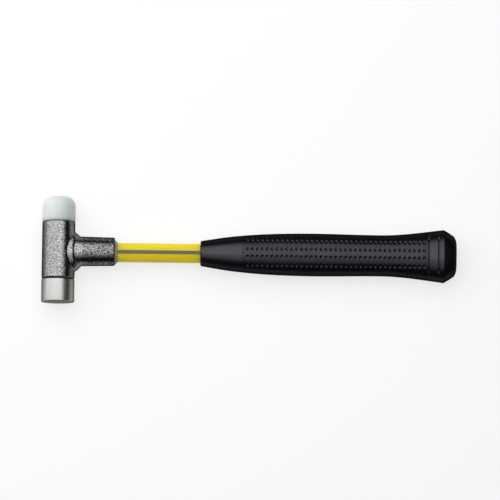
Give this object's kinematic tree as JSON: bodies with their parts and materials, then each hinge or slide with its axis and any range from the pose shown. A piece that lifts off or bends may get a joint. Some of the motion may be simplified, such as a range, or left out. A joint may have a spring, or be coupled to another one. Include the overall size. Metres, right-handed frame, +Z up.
{
  "type": "dead blow hammer",
  "caption": "Light hammer with a shot-filled T head, a rounded nylon tip and a flat steel tip that screw in, an inlaid fibreglass shaft and an oval rubber grip.",
  "frame": {"origin": "centre of the flat steel striking face", "axes": "the hammer lies on its side: +X along the handle from the head to the butt, +Y along the head from the steel tip to the nylon tip, +Z up through the thickness"},
  "size_m": [0.3175, 0.0813, 0.0254],
  "materials": {
    "hammered_paint": "glossy hammered enamel, dark with silver flecks",
    "white_nylon": "smooth, slightly translucent",
    "bare_steel": "fine turned",
    "black_washer": "matte",
    "canister_steel": "drawn sheet",
    "shot_steel": "polished",
    "yellow_fibreglass": "satin, with faint lengthwise fibres",
    "grey_inlay": "satin",
    "bond_resin": "cured resin",
    "black_rubber": "satin, dimpled"
  },
  "bodies": {
    "hammer": {"head_body": "hammered_paint", "shot_canister": "canister_steel", "canister_lid": "canister_steel", "handle_shaft": "yellow_fibreglass", "shaft_stripe_front": "grey_inlay", "shaft_stripe_rear": "grey_inlay", "handle_bond": "bond_resin", "grip": "black_rubber"},
    "shot": {"shot_01": "shot_steel", "shot_02": "shot_steel", "shot_03": "shot_steel", "shot_04": "shot_steel", "shot_05": "shot_steel", "shot_06": "shot_steel", "shot_07": "shot_steel", "shot_08": "shot_steel", "shot_09": "shot_steel", "shot_10": "shot_steel", "shot_11": "shot_steel", "shot_12": "shot_steel", "shot_13": "shot_steel", "shot_14": "shot_steel", "shot_15": "shot_steel", "shot_16": "shot_steel", "shot_17": "shot_steel", "shot_18": "shot_steel", "shot_19": "shot_steel", "shot_20": "shot_steel", "shot_21": "shot_steel"},
    "nylon_washer": {"nylon_tip_seal": "black_washer"},
    "nylon_tip": {"nylon_tip": "white_nylon"},
    "steel_washer": {"steel_tip_seal": "black_washer"},
    "steel_tip": {"steel_tip": "bare_steel"}
  },
  "joints": [
    {"name": "shot_slide", "type": "slide", "parent": "hammer", "child": "shot", "axis": [0, 1, 0], "range_m": [0, 0.0062]},
    {"name": "nylon_tip_travel", "type": "slide", "parent": "hammer", "child": "nylon_washer", "axis": [0, 1, 0], "range_m": [0, 0.00953]},
    {"name": "nylon_tip_turn", "type": "hinge", "parent": "nylon_washer", "child": "nylon_tip", "pos_m": [0, 0.06275, 0], "axis": [0, 1, 0], "range_deg": [0, 2160]},
    {"name": "steel_tip_travel", "type": "slide", "parent": "hammer", "child": "steel_washer", "axis": [0, -1, 0], "range_m": [0, 0.00953]},
    {"name": "steel_tip_turn", "type": "hinge", "parent": "steel_washer", "child": "steel_tip", "pos_m": [0, 0.01715, 0], "axis": [0, -1, 0], "range_deg": [0, 2160]}
  ],
  "couplings": [
    {"joint": "nylon_tip_travel", "follows": "nylon_tip_turn", "m_per_rad": 0.00025266},
    {"joint": "steel_tip_travel", "follows": "steel_tip_turn", "m_per_rad": 0.00025266}
  ]
}
